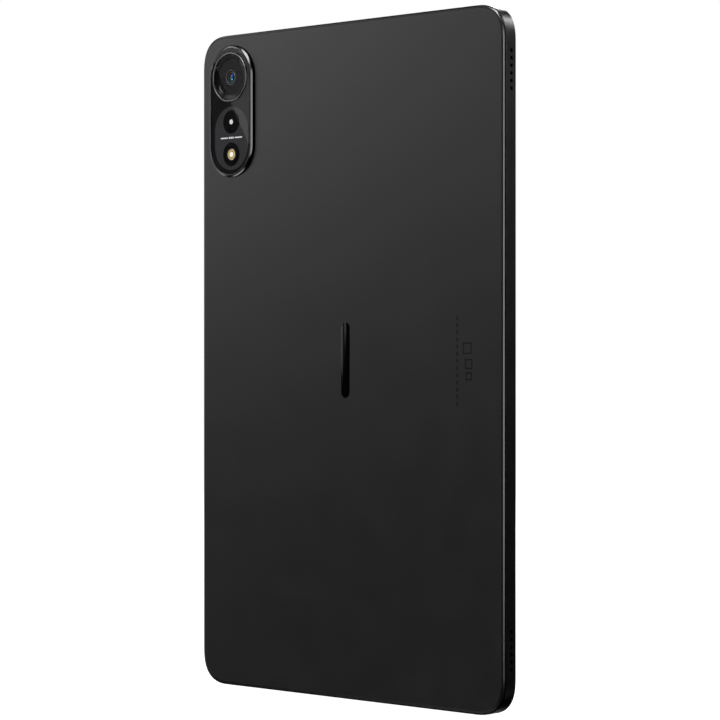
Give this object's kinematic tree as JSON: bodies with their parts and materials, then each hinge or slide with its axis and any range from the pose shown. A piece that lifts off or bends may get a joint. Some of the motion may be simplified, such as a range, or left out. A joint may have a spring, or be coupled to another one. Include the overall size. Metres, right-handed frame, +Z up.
{
  "type": "tablet computer",
  "caption": "Slim tablet computer with a dark metal rear, a capsule camera island, side speaker holes, sprung buttons and a sliding card tray.",
  "frame": {"origin": "bottom centre of the whole tablet, standing upright on its short bottom edge", "axes": "+Z up along the long sides, screen facing -Y, camera island on the +Y side near the +X +Z corner"},
  "size_m": [0.1734, 0.01, 0.2783],
  "materials": {
    "anodised_shell": "fine bead-blasted dark grey anodising with a polished chamfer",
    "satin_frame": "satin dark grey anodising",
    "polished_trim": "polished dark metal",
    "lens_cone": "turned satin black",
    "gloss_black": "gloss black",
    "black_seal": "black seal",
    "black_print": "black print under the glass",
    "front_glass": "polished front glass",
    "panel_black": "switched-off display",
    "white_film": "white diffuser film",
    "flex_film": "amber film with copper",
    "cast_alloy": "cast alloy",
    "pouch_foil": "black wrapped pouch",
    "graphite": "graphite foil",
    "circuit_board": "green solder mask",
    "tin_plate": "tin plate",
    "chip_resin": "black resin",
    "black_plastic": "moulded black plastic",
    "screw_steel": "plated steel",
    "island_black": "black printed plate",
    "inlay_grey": "dark grey inlay",
    "phosphor": "warm white lamp",
    "island_glass": "clear smoked glass",
    "lens_black": "black lens barrel",
    "coated_glass": "coated lens"
  },
  "bodies": {
    "tablet": {"rear_cover": "anodised_shell", "rear_badge": "gloss_black", "frame_seal": "black_seal", "side_frame": "satin_frame", "cover_glass": "front_glass", "bezel_mask": "black_print", "display_adhesive": "black_seal", "display_panel": "panel_black", "backlight_unit": "white_film", "display_ribbon": "flex_film", "mid_plate": "cast_alloy", "plate_screw_1": "screw_steel", "plate_screw_2": "screw_steel", "plate_screw_3": "screw_steel", "plate_screw_4": "screw_steel", "plate_screw_5": "screw_steel", "plate_screw_6": "screw_steel", "battery_cell_left": "pouch_foil", "battery_cell_right": "pouch_foil", "battery_board": "circuit_board", "main_board": "circuit_board", "shield_can_main": "tin_plate", "shield_can_power": "tin_plate", "processor": "chip_resin", "memory_chip": "chip_resin", "storage_chip": "chip_resin", "graphite_sheet": "graphite", "socket_board": "circuit_board", "socket_shell": "tin_plate", "socket_tongue": "black_plastic", "board_link_ribbon": "flex_film", "antenna": "black_plastic", "microphone_top": "tin_plate", "microphone_bottom": "tin_plate", "speaker_top_right": "black_plastic", "speaker_bottom_right": "black_plastic", "speaker_top_left": "black_plastic", "speaker_bottom_left": "black_plastic", "power_switch": "tin_plate", "volume_switch_up": "tin_plate", "volume_switch_down": "tin_plate", "card_reader": "tin_plate", "front_camera": "chip_resin", "island_frame": "polished_trim", "island_plate": "island_black", "inlay_plate": "inlay_grey", "indicator_disc": "gloss_black", "flash_disc": "gloss_black", "flash_led": "phosphor", "island_glass": "island_glass", "lens_trim_ring": "polished_trim", "lens_cone": "lens_cone", "lens_cover_glass": "island_glass", "lens_mask": "lens_black", "lens_barrel": "lens_black", "front_element": "coated_glass", "camera_module": "chip_resin"},
    "power_key": {"power_button": "satin_frame"},
    "volume_key": {"volume_rocker": "satin_frame"},
    "tray": {"card_tray": "satin_frame"}
  },
  "joints": [
    {"name": "power_press", "type": "slide", "parent": "tablet", "child": "power_key", "axis": [0, 0, -1], "range_m": [0, 0.0003], "stiffness_N_per_m": 4000, "springref_m": -0.0001},
    {"name": "volume_rock", "type": "hinge", "parent": "tablet", "child": "volume_key", "pos_m": [0.08415, -0.00187, 0.207], "axis": [0, 1, 0], "range_deg": [-1.2, 1.2], "stiffness_Nm_per_rad": 0.4},
    {"name": "tray_slide", "type": "slide", "parent": "tablet", "child": "tray", "axis": [1, 0, 0], "range_m": [0, 0.026]}
  ]
}
